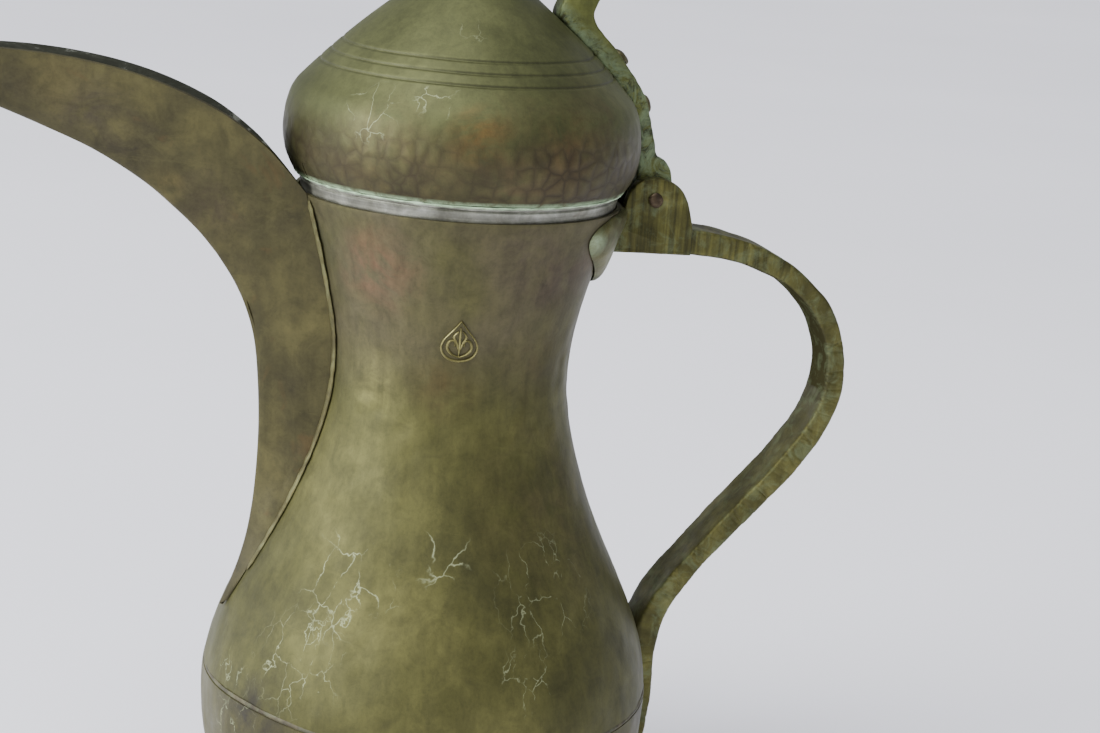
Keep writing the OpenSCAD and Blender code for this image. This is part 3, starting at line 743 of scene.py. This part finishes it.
# ---- swept castings
def box_section(n_side, n_thick, corner):
    """Rounded rectangle of unit half sizes: list of (a, b) with a across the width, b from -1 to 1."""
    pts = []
    for sx, sy in ((1, -1), (1, 1), (-1, 1), (-1, -1)):
        for k in range(corner + 1):
            t = math.pi / 2 * k / corner
            base = {(1, -1): -math.pi / 2, (1, 1): 0, (-1, 1): math.pi / 2, (-1, -1): math.pi}[(sx, sy)]
            pts.append((sx, sy, math.cos(base + t), math.sin(base + t)))
    out = []
    for i, p in enumerate(pts):
        out.append(p)
        q = pts[(i + 1) % len(pts)]
        steps = n_thick if (p[0] == q[0] and p[1] != q[1]) else n_side if p[1] == q[1] and p[0] != q[0] else 0
        for k in range(1, steps):
            t = k / steps
            out.append((p[0] + (q[0] - p[0]) * t, p[1] + (q[1] - p[1]) * t, p[2], p[3]))
    return np.array(out)


def swept(name, outer, inner, width, corner_r, shape=None, marks=None):
    """Strap between two paired lines in X and Z. width is a number or one per station."""
    sec = box_section(8, 8, 4)
    n = len(outer)
    w = np.broadcast_to(np.asarray(width, float), (n,))
    mid, half = (outer + inner) / 2, (outer - inner) / 2
    th = np.linalg.norm(half, axis=1)
    u = half / np.maximum(th, 1e-6)[:, None]
    cr = np.minimum(corner_r, 0.8 * np.minimum(th, w / 2))
    a = sec[:, 0][None, :] * (w / 2 - cr)[:, None] + sec[:, 2][None, :] * cr[:, None]
    b = sec[:, 1][None, :] * (th - cr)[:, None] + sec[:, 3][None, :] * cr[:, None]
    if shape is not None:
        a, b = shape(a, b, th, w)
    p = np.stack([mid[:, None, 0] + b * u[:, None, 0], a, mid[:, None, 1] + b * u[:, None, 1]], -1)
    if marks is not None:
        p = marks(p, a, b, th, w, u)
    m = len(sec)
    faces = grid_faces(n, m, wrap_cols=True)
    verts = np.vstack([p.reshape(-1, 3), p[0].mean(0), p[-1].mean(0)])
    c0, c1 = n * m, n * m + 1
    faces += [(c0, (j + 1) % m, j) for j in range(m)]
    faces += [(c1, (n - 1) * m + j, (n - 1) * m + (j + 1) % m) for j in range(m)]
    return mesh_object(name, verts, faces, 50)


def pair(outer, inner, n):
    """Equal steps along the outer line, each with the nearest place on the inner line, kept in order."""
    o = resample(spline(outer, 10), n)
    i = resample(spline(inner, 10), 4 * n)
    d = np.linalg.norm(o[:, None] - i[None], axis=2)
    k = np.maximum.accumulate(d.argmin(1)).astype(float)
    pad = 12
    k = np.convolve(np.pad(k, pad, mode="edge"), np.hanning(2 * pad + 1) / pad, "valid")
    s = np.arange(len(i))
    return o, np.stack([np.interp(k, s, i[:, 0]), np.interp(k, s, i[:, 1])], 1)


def clear_of_pot(p, gap=0.05):
    """Pushes points that would lie in the pot out along +X to its surface."""
    r = radius_at(BODY, np.clip(p[..., 2], 0, 231)) + gap
    rr = np.hypot(p[..., 0], p[..., 1])
    x = np.sqrt(np.maximum(r * r - p[..., 1] ** 2, 0))
    p[..., 0] = np.where((rr < r) & (p[..., 2] < 120), x, p[..., 0])
    return p


def file_marks(count, length, seed, depth):
    """Rows of place along the strap, width, depth and tilt."""
    g = np.random.default_rng(seed)
    return np.stack([g.uniform(0, length, count), g.uniform(0.25, 0.75, count),
                     g.uniform(0.3, 1, count) * depth, g.uniform(-0.35, 0.35, count)], 1)


def handle():
    n = 760
    outer, inner = pair(HANDLE_OUT, HANDLE_IN, n)
    s = np.linspace(0, 1, n) * 300.0
    taper = np.clip((300 - s) / 3.0, 0.25, 1) ** 0.5
    inner = outer + (inner - outer) * taper[:, None]
    marks = [file_marks(170, 300, 61, 0.2), file_marks(170, 300, 62, 0.2)]

    def relief(p, a, b, th, w, u):
        for k, sign in enumerate((-1, 1)):
            on_side = np.clip((sign * a - (w[:, None] / 2 - 1.6)) / 1.3, 0, 1)
            cut = np.zeros_like(a)
            for pos, wide, deep, tilt in marks[k]:
                cut += deep * np.exp(-(((s[:, None] - pos) + tilt * b) / wide) ** 2)
            p[..., 1] -= sign * on_side * np.minimum(cut, 0.45)
        bulk = 0.16 * waves(p, 16, 63) + 0.06 * waves(p, 6, 64) - 0.2
        p[..., 0] += bulk * np.sign(b) * u[:, None, 0] * (np.abs(b) > 0.5 * th[:, None])
        p[..., 2] += bulk * np.sign(b) * u[:, None, 1] * (np.abs(b) > 0.5 * th[:, None])
        return clear_of_pot(p)
    return swept("handle_strap", outer, inner, STRAP_W, 1.1, marks=relief)


def plate(name, outline, width, chamfer):
    """Closed outline in X and Z drawn out along Y, with rounded side edges."""
    p = np.array(outline, float)
    t = np.roll(p, -1, 0) - np.roll(p, 1, 0)
    t /= np.linalg.norm(t, axis=1)[:, None]
    area = 0.5 * (p[:, 0] * np.roll(p[:, 1], -1) - np.roll(p[:, 0], -1) * p[:, 1]).sum()
    nrm = np.stack([t[:, 1], -t[:, 0]], 1) * (1 if area > 0 else -1)
    rows = []
    h = width / 2
    for y, c in ((-h, chamfer), (-h + 0.3 * chamfer, 0.3 * chamfer), (-h + chamfer, 0),
                 (0, 0), (h - chamfer, 0), (h - 0.3 * chamfer, 0.3 * chamfer), (h, chamfer)):
        q = p - nrm * c
        rows.append(np.stack([q[:, 0], np.full(len(q), y), q[:, 1]], 1))
    v = np.array(rows)
    m = len(p)
    return mesh_object(name, v, tube_faces(len(rows), m), 30)


def cutter(radius, width, x=PIN_X, z=PIN_Z, n=72):
    a = np.arange(n) * TAU / n
    return plate("cutter", np.stack([x + radius * np.cos(a), z + radius * np.sin(a)], 1), width, NO_CHAMFER)


def cut(obj, tool):
    mod = obj.modifiers.new("cut", "BOOLEAN")
    mod.operation, mod.object, mod.solver = "DIFFERENCE", tool, "EXACT"
    settle(obj)
    bpy.data.objects.remove(tool)
    return obj


def hinge_block():
    top = spline(EAR, 6)
    side = resample(np.vstack([[45.5, 208.9], [76.8, 208.3], top, [45.5, 219.6], [45.5, 208.95]]), 220)
    block = plate("hinge_block", side, EAR_W, 0.9)
    back, over = PIN_X + 20, PIN_Z + 10.7
    heel_slot = [(PIN_X, ARM_TOP), (back, ARM_TOP), (back, over), (PIN_X, over)]
    cut(block, cutter(HEEL_SWING, TONGUE_W + 2 * TONGUE_GAP))
    cut(block, plate("heel_slot", heel_slot, TONGUE_W + 2 * TONGUE_GAP, NO_CHAMFER))
    cut(block, cutter(PIN_R + 0.05, 30))
    sub = block.modifiers.new("round", "BEVEL")
    sub.width, sub.segments, sub.limit_method, sub.angle_limit = 0.45 * MM, 2, "ANGLE", math.radians(50)
    settle(block, 40)
    v = mesh_points(block)
    on_cheek = np.sign(v[:, 1]) * (np.abs(v[:, 1]) > 8)
    v[:, 1] += (0.14 * waves(v, 8, 71) + 0.05 * waves(v, 3, 72) - 0.1) * on_cheek
    move_points(block, v)
    return block


dress(join("handle", [handle(), hinge_block()]), cast_mat, "pot", "cast_brass", "handle")


def saddle():
    n_rim, n_r = 220, 16
    half = spline(LEAF, 8)
    loop = np.vstack([half, half[::-1] * [-1, 1]])
    loop = loop_points(loop, n_rim)
    centre = np.array([0, 213.0])
    rows = []
    rho = np.concatenate([np.linspace(0.05, 0.9, n_r - 6), [0.94, 0.97, 0.985, 0.995, 1.0]])
    for side in (0, 1):
        for q in (rho if side == 0 else rho[::-1]):
            yz = centre + (loop - centre) * q
            lift = (SADDLE_T - 0.05) * (1 - q ** 10) ** 0.5 if side == 0 else 0.06
            if side == 0:
                flat = np.stack([yz[:, 0], yz[:, 1]], 1)
                lift = np.maximum(lift + (0.12 * waves(flat, 9, 81) - 0.12) * (q < 0.99), 0.08)
            r = radius_at(BODY, yz[:, 1]) + lift
            rows.append(np.stack([np.sqrt(r * r - yz[:, 0] ** 2), yz[:, 0], yz[:, 1]], 1))
    v = np.array(rows)
    faces = grid_faces(len(rows), n_rim, wrap_rows=True, wrap_cols=True)
    return dress(mesh_object("neck_saddle", v, faces, 45), pad_mat, "pot", "cast_brass",
                 "neck_saddle")


saddle()


def lid_strap():
    fine = resample(spline(STRAP, 12), 520)
    outer, inner = fine[:, :2], fine[:, 2:]
    s = np.linspace(0, 1, len(fine))
    horn = np.clip((fine[:, 1] - 283) / 8, 0, 1)
    narrow = TONGUE_W - 0.2 - 5.5 * np.clip((s - 0.86) / 0.14, 0, 1) ** 1.5

    def shape(a, b, th, w):
        t = b / np.maximum(th, 1e-6)[:, None]
        ridge = 1 - 0.34 * horn[:, None] * np.abs(t - 0.1) ** 1.2
        return a * ridge, b

    def relief(q, a, b, th, w, u):
        bulk = 0.14 * waves(q, 12, 91) + 0.06 * waves(q, 4, 92) - 0.12
        q[..., 1] += bulk * np.sign(a) * (np.abs(a) > 0.35 * w[:, None])
        out = (b > 0.6 * th[:, None])
        q[..., 0] += bulk * out * u[:, None, 0]
        q[..., 2] += bulk * out * u[:, None, 1]
        return q
    obj = swept("lid_strap", outer, inner, narrow, 1.0, shape, relief)
    return dress(obj, strap_mat, "lid", "strap_brass", "lid_strap")


lid_strap()


# ---- rivets and pin
def rivet(name, x, z, tilt, out, tail, seed):
    t = np.linspace(0, math.pi / 2, 14)
    g = np.random.default_rng(seed)
    prof = [(0.02, -tail), (1.5, -tail), (1.5, out - 0.2), (3.2, out - 0.15)]
    prof += [(3.25 * math.cos(q), out + 1.8 * math.sin(q) ** 0.85) for q in t[:-1]] + [(0.02, out + 1.8)]
    phase = g.uniform(0, 100)

    def relief(v):
        return (0.12 * waves(v + phase, 4.5, seed) - 0.1) * (v[..., 2] > out)
    obj = turned(name, prof, 48, relief, closed=False, sharp=50)
    spin = Matrix.Translation(Vector((x, 0, z)) * MM) @ Matrix.Rotation(math.radians(90 - tilt), 4, "Y")
    obj.data.transform(spin)
    return obj


dress(join("lid_strap_rivets", [rivet("r1", 55.1, 254.2, 22, 4.6, 3.6, 101),
                                rivet("r2", 45.4, 266.4, 45, 6.1, 3.6, 102)]),
      rivet_mat, "lid", "rivet_brass", "lid_strap_rivets")
dress(join("handle_foot_rivets", [rivet("r3", 73.9, 51, 0, 4.1, 5.6, 103),
                                  rivet("r4", 72.4, 39.5, 0, 3.9, 5.6, 104)]),
      rivet_mat, "pot", "rivet_brass", "handle_foot_rivets")


def hinge_pin():
    h = EAR_W / 2
    head = [(PIN_R, 0), (2.5, 0.2), (2.35, 0.6), (1.7, 1.0), (0.9, 1.2), (0.02, 1.25)]
    prof = [(r, -h - z) for r, z in head[::-1]] + [(r, h + z) for r, z in head]
    prof = resample(np.array(prof), 60)

    def relief(v):
        return 0.1 * waves(v, 3, 111) * (np.abs(v[..., 2]) > h + 0.1) - 0.02
    obj = turned("hinge_pin", prof, 40, relief, closed=False, sharp=50)
    on_side = Matrix.Rotation(math.pi / 2, 4, "X")
    obj.data.transform(Matrix.Translation(Vector((PIN_X, 0, PIN_Z)) * MM) @ on_side)
    return dress(obj, pin_mat, "pot", "pin_copper", "hinge_pin")


hinge_pin()


# ---- lid
def lid_dome():
    zs = [np.linspace(LID_Z, 262, 120), np.linspace(262.2, 274.5, 110), np.linspace(274.8, TOP_Z, 50)]
    zs = np.concatenate(zs)
    outer = offset_outline(LID, zs, 0)
    inner = offset_outline(LID, np.linspace(LID_Z + 0.5, TOP_Z - 1.6, 60), -1.4)
    inner[:, 1] = np.maximum(inner[:, 1], LID_Z)
    prof = np.vstack([[51.6, LID_Z], outer, [2.5, TOP_Z], [2.5, TOP_Z - 1.4], inner[::-1]])
    g = np.random.default_rng(121)
    rows, per_row = 6, 66
    zc = np.repeat(np.linspace(232, 256, rows), per_row) + g.uniform(-1.2, 1.2, rows * per_row)
    ac = np.tile(np.arange(per_row), rows) + 0.5 * (np.repeat(np.arange(rows), per_row) % 2)
    ac = (ac + g.uniform(-0.22, 0.22, len(ac))) * TAU / per_row
    rc = radius_at(LID, zc)
    centres = np.stack([rc * np.cos(ac), rc * np.sin(ac), zc], 1)
    radii = g.uniform(2.9, 3.8, len(ac))
    depths = g.uniform(0.08, 0.18, len(ac)) * np.interp(zc, [246, 257], [1, 0.2])

    def relief(v):
        out = np.zeros(v.shape[:2])
        top = slice(1, 1 + len(outer))
        q = v[top]
        d = dimples(q, centres, radii, depths) * np.clip((q[..., 2] - 230) / 2, 0, 1)
        d += 0.10 * waves(q, 30, 122) - 0.12
        for z in GROOVES:
            d -= 0.42 * np.exp(-((q[..., 2] - z) / 0.38) ** 2)
        out[top] = d
        return out
    obj = turned("lid_dome", prof, 560, relief, closed=True, sharp=55)
    nick = plate("nick", [(48, 229), (60, 229), (60, 235), (48, 235)], 0.9, NO_CHAMFER)
    nick.data.transform(Matrix.Rotation(NICK_AZIMUTH, 4, "Z"))
    cut(obj, nick)
    obj.data.set_sharp_from_angle(angle=math.radians(55))
    return dress(obj, lid_mat, "lid", "lid_brass", "lid_dome")


def lid_bezel():
    prof = [(51.4, 233), (51.4, 230), (51.35, 229.3), (51.2, 228.7), (50.7, 228.5), (50.5, 228.2),
            (50.65, 227.9), (50.85, 227.6), (50.7, 227), (50.45, 226), (50.25, 224.6), (49.9, 223.2),
            (49.4, 222), (48.9, 221.05), (48.1, 221.1), (48.4, 222), (49.1, 224.6), (50, 229), (50.2, 233)]
    prof = loop_points(prof, 119)

    def relief(v):
        return 0.10 * waves(v, 18, 131) + 0.04 * waves(v, 5, 132) - 0.1
    return dress(turned("lid_bezel", prof, 320, relief), tin_mat, "lid", "tinned_bezel", "lid_bezel")


def bezel_solder():
    prof = [(51.4, 229.15), (52.1, 229.12), (52.6, 229.45), (52.85, 229.95), (51.5, 229.96)]
    prof = loop_points(prof, 15)

    def relief(v):
        return 0.10 * waves(v, 5, 141) + 0.06 * waves(v, 2, 142) - 0.08
    return dress(turned("bezel_solder", prof, 420, relief), green_mat, "lid", "verdigris_solder",
                 "bezel_solder")


lid_dome()
lid_bezel()
bezel_solder()


def finial():
    low = spline([(8.6, 297.5), (8.55, 298.6), (7.8, 300), (5.6, 301.2), (4.4, 303), (4.6, 305), (5.5, 306.4),
                  (5.5, 306.9)], 8)
    collar = np.vstack([[2.3, 297.5], low, [2.3, 306.95]])

    def lathe(v):
        return 0.03 * np.sin(v[..., 2] * 9) + 0.04 * waves(v, 6, 151) - 0.06
    dress(turned("finial_collar", resample(collar, 110), 96, lathe), finial_mat, "lid", "finial_brass",
          "finial_collar")
    high = spline([(4.4, 307.05), (5.9, 309.4), (6.4, 312.4), (5.6, 315.6), (3.6, 318), (2.6, 320),
                   (3.4, 322), (4.1, 324.2), (3.4, 326.6), (2.2, 329), (1.6, 333), (1.1, 337), (0.5, 339.4),
                   (0.05, 339.9)], 8)
    spire = np.vstack([[0.02, 293.5], [2.2, 293.5], [2.2, 307.0], high])
    dress(turned("finial_spire", resample(spire, 200), 96, lathe, closed=False), finial_mat, "lid",
          "finial_brass", "finial_spire")


finial()


# ---- stamped mark on the neck
def on_neck(u, v, lift, azimuth=262.7, height=185.6):
    """u runs round the neck to the right, v up, both in mm from the mark's middle."""
    z = height + v
    r = float(radius_at(BODY, z)) + lift
    a = math.radians(azimuth) + u / r
    return r * math.cos(a), r * math.sin(a), z


def stroke(points, width, high):
    """Low rounded ridge that follows the neck."""
    path = resample(spline(points, 12), 60)
    d = np.gradient(path, axis=0)
    d /= np.linalg.norm(d, axis=1)[:, None]
    rows = []
    for (u, v), (du, dv), t in zip(path, d, np.linspace(0, 1, len(path))):
        w = width * (0.35 + 0.65 * math.sin(math.pi * min(max(t, 0.06), 0.94)))
        ring = []
        for k in range(8):
            side, rise = w * math.cos(TAU * k / 8), high * math.sin(TAU * k / 8)
            ring.append(on_neck(u - dv * side, v + du * side, rise - 0.2))
        rows.append(ring)
    v3 = np.array(rows)
    return mesh_object("stroke", v3, tube_faces(len(rows), 8), 80)


def neck_mark():
    drop = [(0, 6.8), (2.4, 3.6), (4.9, 0.4), (5.6, -2.6), (3.8, -5.4), (0, -6.4), (-3.8, -5.4), (-5.6, -2.6),
            (-4.9, 0.4), (-2.4, 3.6), (0, 6.8)]
    parts = [stroke(drop, 0.42, 0.62)]
    for s in (-1, 1):
        parts.append(stroke([(0, -5), (s * 2.2, -4.2), (s * 3.8, -2.2), (s * 3.2, 0), (s * 1.6, 0.2),
                             (s * 1.4, -1.5)], 0.5, 0.66))
        parts.append(stroke([(0, -3.4), (s * 0.9, -0.6), (s * 1.9, 1.6), (s * 0.7, 3.4)], 0.44, 0.62))
    parts.append(stroke([(0, -5), (0, -1), (0, 2.2), (0, 4.6)], 0.46, 0.66))
    return dress(join("neck_mark", parts), mark_mat, "pot", "body_brass")


neck_mark()

# ---- CAD nodes that stay
for node in ("handle_foot_roves", "lid_strap_roves", "finial_rove"):
    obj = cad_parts[node]
    obj.data.materials.clear()
    obj.data.materials.append(rivet_mat)


# ---- stage, light, camera
def flat_material(name, rgb, rough):
    m = Nodes(name)
    tone = m.ramp(m.noise(1.5, 3, 0.5), [(0.3, lin(rgb)), (0.7, lin([min(c + 6, 255) for c in rgb]))])
    m.link(tone, m.bsdf.inputs["Base Color"])
    m.bsdf.inputs["Roughness"].default_value = rough
    return m.mat


def floor():
    """Pale floor, wide enough to fill the picture behind the pot."""
    half = 9000
    obj = mesh_object("floor", [(-half, -half, -0.4), (half, -half, -0.4), (half, half, -0.4),
                                (-half, half, -0.4)], [(0, 1, 2, 3)])
    obj.data.materials.append(flat_material("paper", (240, 240, 247), 0.9))


def area_light(name, place, aim, size, watts, tint=(1, 1, 1)):
    data = bpy.data.lights.new(name, "AREA")
    data.shape, data.size, data.energy, data.color = "SQUARE", size, watts, tint
    lamp = placed(name, data)
    lamp.location = place
    lamp.rotation_euler = (Vector(aim) - Vector(place)).to_track_quat("-Z", "Y").to_euler()


floor()
area_light("window", (-2.1, -0.75, 0.85), (0, 0, 0.18), 1.1, 62, (0.97, 0.985, 1))
area_light("key", (-0.9, -1.9, 0.95), (0, 0, 0.2), 0.4, 5, (1, 0.985, 0.96))
area_light("rim", (-1.7, 0.5, 0.5), (0, 0, 0.16), 1.0, 14, (0.95, 0.98, 1))
area_light("top", (-0.3, -0.4, 1.7), (0, 0.1, 0.2), 1.0, 5)

sun_data = bpy.data.lights.new("sky", "SUN")
sun_data.energy, sun_data.angle = 2.9, math.radians(50)
sun = placed("sky", sun_data)
sun.rotation_euler = Vector((0.42, 0.25, -1.0)).to_track_quat("-Z", "Y").to_euler()

world = bpy.data.worlds.new("studio")
world.use_nodes = True
ambient = world.node_tree.nodes["Background"].inputs
ambient["Color"].default_value = (0.9, 0.92, 1.0, 1)
ambient["Strength"].default_value = 0.55
bpy.context.scene.world = world

# The camera stands 759 mm in front, 12.5 degrees towards the spout, 126 mm above the lid's edge
AZIMUTH, HEADING, PITCH, ROLL = (math.radians(q) for q in (-12.5, 2.55, 13.79, 4.7))
DISTANCE, EYE_Z, FOCAL_MM = 0.7587, 0.3562, 78.55
look = Vector((math.sin(HEADING) * math.cos(PITCH), math.cos(HEADING) * math.cos(PITCH), -math.sin(PITCH)))
right0 = Vector((math.cos(HEADING), -math.sin(HEADING), 0))
up0 = right0.cross(look)
right = math.cos(ROLL) * right0 + math.sin(ROLL) * up0
up = -math.sin(ROLL) * right0 + math.cos(ROLL) * up0
spin = Matrix.Rotation(AZIMUTH, 3, "Z")
axes = Matrix((spin @ right, spin @ up, -(spin @ look))).transposed()
cam_data = bpy.data.cameras.new("camera")
cam_data.sensor_width, cam_data.lens = 36, FOCAL_MM
cam_data.clip_start, cam_data.clip_end = 0.05, 20
cam = placed("camera", cam_data)
cam.matrix_world = Matrix.Translation(spin @ Vector((0, -DISTANCE, EYE_Z))) @ axes.to_4x4()
bpy.context.scene.camera = cam
